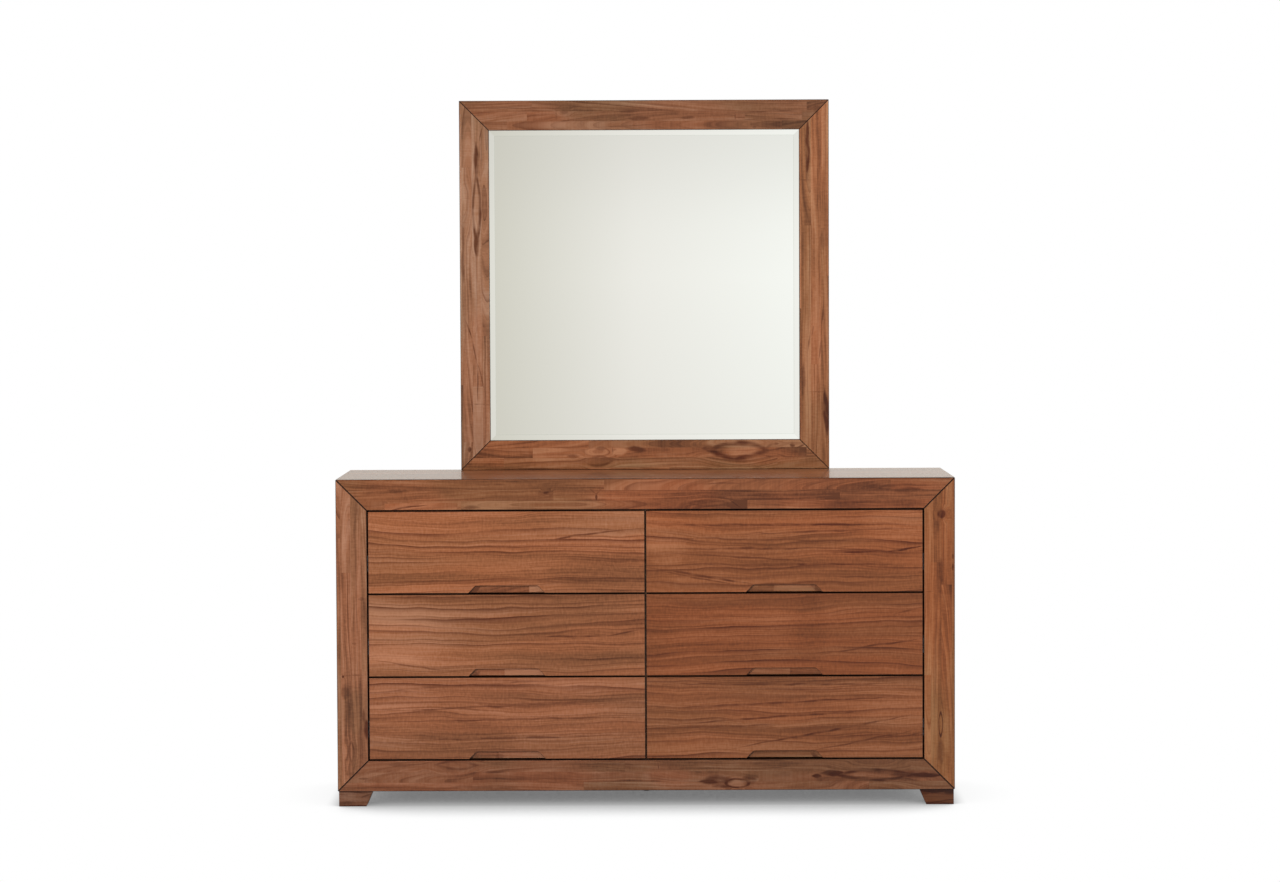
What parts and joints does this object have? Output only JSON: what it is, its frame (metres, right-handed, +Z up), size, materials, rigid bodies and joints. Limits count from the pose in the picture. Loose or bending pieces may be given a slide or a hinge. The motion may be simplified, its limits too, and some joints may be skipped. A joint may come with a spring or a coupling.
{
  "type": "dresser with mirror",
  "caption": "Wide wooden chest of drawers on block feet, with finger-pull drawers on ball-bearing slides and a square bevelled mirror standing on its top.",
  "frame": {"origin": "on the floor, at the middle of the outer box", "axes": "+Z up; +Y from the drawer fronts towards the wall; +X to the right of someone facing the drawers"},
  "size_m": [1.6, 0.4702, 1.845],
  "materials": {
    "veneer_wood": "satin lacquer",
    "stave_wood": "satin lacquer",
    "plain_wood": "planed, thin stain",
    "drawer_wood": "clear lacquer",
    "drawer_ply": "clear lacquer",
    "back_board": "matt, bare",
    "slide_steel": "zinc plated",
    "mirror_glass": "silvered, polished bevel",
    "glide_plastic": "satin"
  },
  "bodies": {
    "case": {"case_top": "veneer_wood", "case_right": "veneer_wood", "case_bottom": "veneer_wood", "case_left": "veneer_wood", "face_frame_top": "stave_wood", "face_frame_right": "stave_wood", "face_frame_bottom": "stave_wood", "face_frame_left": "stave_wood", "case_back": "back_board", "rear_rails": "plain_wood", "centre_partition": "plain_wood", "slide_battens": "plain_wood", "slide_outers": "slide_steel", "front_left_foot": "stave_wood", "rear_left_foot": "stave_wood", "front_right_foot": "stave_wood", "rear_right_foot": "stave_wood", "centre_leg": "plain_wood", "centre_glide": "glide_plastic", "mirror_frame_top": "stave_wood", "mirror_frame_right": "stave_wood", "mirror_frame_bottom": "stave_wood", "mirror_frame_left": "stave_wood", "mirror_glass": "mirror_glass", "mirror_backing": "back_board", "backing_beads": "plain_wood", "left_mirror_post": "plain_wood", "right_mirror_post": "plain_wood", "post_screws": "slide_steel"},
    "bottom_left_drawer": {"bottom_left_drawer_front": "veneer_wood", "bottom_left_drawer_box": "drawer_wood", "bottom_left_drawer_bottom": "drawer_ply", "bottom_left_slide_inner": "slide_steel"},
    "bottom_left_slides": {"bottom_left_slide_middle": "slide_steel"},
    "bottom_right_drawer": {"bottom_right_drawer_front": "veneer_wood", "bottom_right_drawer_box": "drawer_wood", "bottom_right_drawer_bottom": "drawer_ply", "bottom_right_slide_inner": "slide_steel"},
    "bottom_right_slides": {"bottom_right_slide_middle": "slide_steel"},
    "middle_left_drawer": {"middle_left_drawer_front": "veneer_wood", "middle_left_drawer_box": "drawer_wood", "middle_left_drawer_bottom": "drawer_ply", "middle_left_slide_inner": "slide_steel"},
    "middle_left_slides": {"middle_left_slide_middle": "slide_steel"},
    "middle_right_drawer": {"middle_right_drawer_front": "veneer_wood", "middle_right_drawer_box": "drawer_wood", "middle_right_drawer_bottom": "drawer_ply", "middle_right_slide_inner": "slide_steel"},
    "middle_right_slides": {"middle_right_slide_middle": "slide_steel"},
    "top_left_drawer": {"top_left_drawer_front": "veneer_wood", "top_left_drawer_box": "drawer_wood", "top_left_drawer_bottom": "drawer_ply", "top_left_slide_inner": "slide_steel"},
    "top_left_slides": {"top_left_slide_middle": "slide_steel"},
    "top_right_drawer": {"top_right_drawer_front": "veneer_wood", "top_right_drawer_box": "drawer_wood", "top_right_drawer_bottom": "drawer_ply", "top_right_slide_inner": "slide_steel"},
    "top_right_slides": {"top_right_slide_middle": "slide_steel"}
  },
  "joints": [
    {"name": "bottom_left_drawer_slide", "type": "slide", "parent": "case", "child": "bottom_left_drawer", "axis": [0, -1, 0], "range_m": [0, 0.375]},
    {"name": "bottom_left_middle_slide", "type": "slide", "parent": "case", "child": "bottom_left_slides", "axis": [0, -1, 0], "range_m": [0, 0.1875]},
    {"name": "bottom_right_drawer_slide", "type": "slide", "parent": "case", "child": "bottom_right_drawer", "axis": [0, -1, 0], "range_m": [0, 0.375]},
    {"name": "bottom_right_middle_slide", "type": "slide", "parent": "case", "child": "bottom_right_slides", "axis": [0, -1, 0], "range_m": [0, 0.1875]},
    {"name": "middle_left_drawer_slide", "type": "slide", "parent": "case", "child": "middle_left_drawer", "axis": [0, -1, 0], "range_m": [0, 0.375]},
    {"name": "middle_left_middle_slide", "type": "slide", "parent": "case", "child": "middle_left_slides", "axis": [0, -1, 0], "range_m": [0, 0.1875]},
    {"name": "middle_right_drawer_slide", "type": "slide", "parent": "case", "child": "middle_right_drawer", "axis": [0, -1, 0], "range_m": [0, 0.375]},
    {"name": "middle_right_middle_slide", "type": "slide", "parent": "case", "child": "middle_right_slides", "axis": [0, -1, 0], "range_m": [0, 0.1875]},
    {"name": "top_left_drawer_slide", "type": "slide", "parent": "case", "child": "top_left_drawer", "axis": [0, -1, 0], "range_m": [0, 0.375]},
    {"name": "top_left_middle_slide", "type": "slide", "parent": "case", "child": "top_left_slides", "axis": [0, -1, 0], "range_m": [0, 0.1875]},
    {"name": "top_right_drawer_slide", "type": "slide", "parent": "case", "child": "top_right_drawer", "axis": [0, -1, 0], "range_m": [0, 0.375]},
    {"name": "top_right_middle_slide", "type": "slide", "parent": "case", "child": "top_right_slides", "axis": [0, -1, 0], "range_m": [0, 0.1875]}
  ],
  "couplings": [
    {"joint": "bottom_left_middle_slide", "follows": "bottom_left_drawer_slide", "ratio": 0.5},
    {"joint": "bottom_right_middle_slide", "follows": "bottom_right_drawer_slide", "ratio": 0.5},
    {"joint": "middle_left_middle_slide", "follows": "middle_left_drawer_slide", "ratio": 0.5},
    {"joint": "middle_right_middle_slide", "follows": "middle_right_drawer_slide", "ratio": 0.5},
    {"joint": "top_left_middle_slide", "follows": "top_left_drawer_slide", "ratio": 0.5},
    {"joint": "top_right_middle_slide", "follows": "top_right_drawer_slide", "ratio": 0.5}
  ]
}
